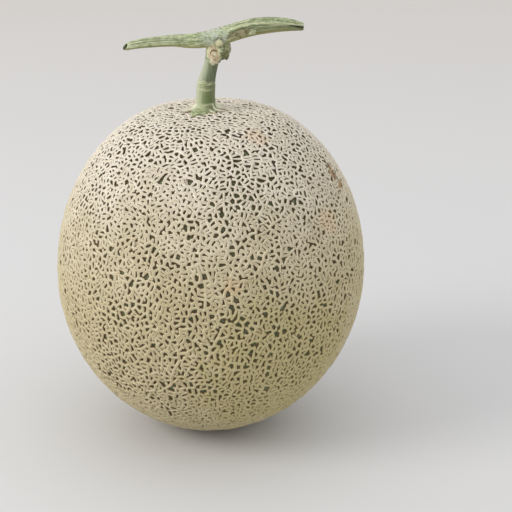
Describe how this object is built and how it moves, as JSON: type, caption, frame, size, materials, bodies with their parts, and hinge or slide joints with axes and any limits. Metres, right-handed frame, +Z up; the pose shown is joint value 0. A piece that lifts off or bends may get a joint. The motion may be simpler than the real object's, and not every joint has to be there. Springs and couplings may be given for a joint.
{
  "type": "cantaloupe melon",
  "caption": "Whole netted cantaloupe melon standing on its blossom end, with its stem and a short T-shaped length of vine left on.",
  "frame": {"origin": "middle of the melon's footprint, on the level of the flat blossom-end spot that it rests on", "axes": "+Z up through the stem end, X along the cut vine on top with its thicker cut end at +X, -Y the side with the leaf scar"},
  "size_m": [0.1514, 0.1511, 0.2064],
  "materials": {
    "rind": "matte corky net, pale beige, over grey-green skin in the pits",
    "stem": "satin green stem, paler and greyer up its stalk, with corky scars"
  },
  "bodies": {
    "root": {"netted_fruit": "rind", "vine_stem": "stem"}
  },
  "joints": []
}
